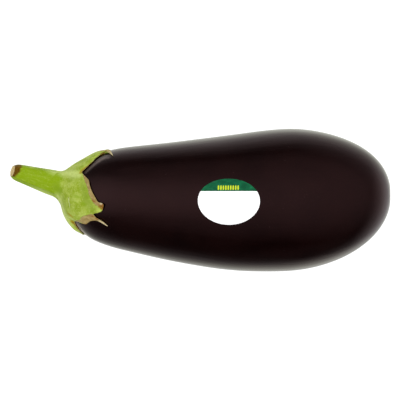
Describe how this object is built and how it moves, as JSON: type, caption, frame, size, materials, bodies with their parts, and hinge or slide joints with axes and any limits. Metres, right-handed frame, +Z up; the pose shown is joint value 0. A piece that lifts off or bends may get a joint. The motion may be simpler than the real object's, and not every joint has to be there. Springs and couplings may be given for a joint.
{
  "type": "eggplant",
  "caption": "Pear-shaped dark glossy fruit lying on its side, with a lobed green calyx, a cut stem and a plain oval sticker.",
  "frame": {"origin": "on the surface the fruit rests on, below the middle of the whole thing's bounding box", "axes": "+Z up; +X along the length from the stem to the blossom end; +Y to the side, as seen with the stem on the left from above it is up"},
  "size_m": [0.2083, 0.0785, 0.0764],
  "materials": {
    "fruit_skin": "glossy near-black purple skin with a thin wax bloom",
    "calyx_green": "satin fleshy green leaf, dried brown at the edges",
    "stem_green": "satin bright green stalk with a dry tan cut end",
    "sticker_paper": "smooth white coated paper with a plain green band"
  },
  "bodies": {
    "root": {"fruit": "fruit_skin", "calyx": "calyx_green", "stem": "stem_green", "sticker": "sticker_paper"}
  },
  "joints": []
}
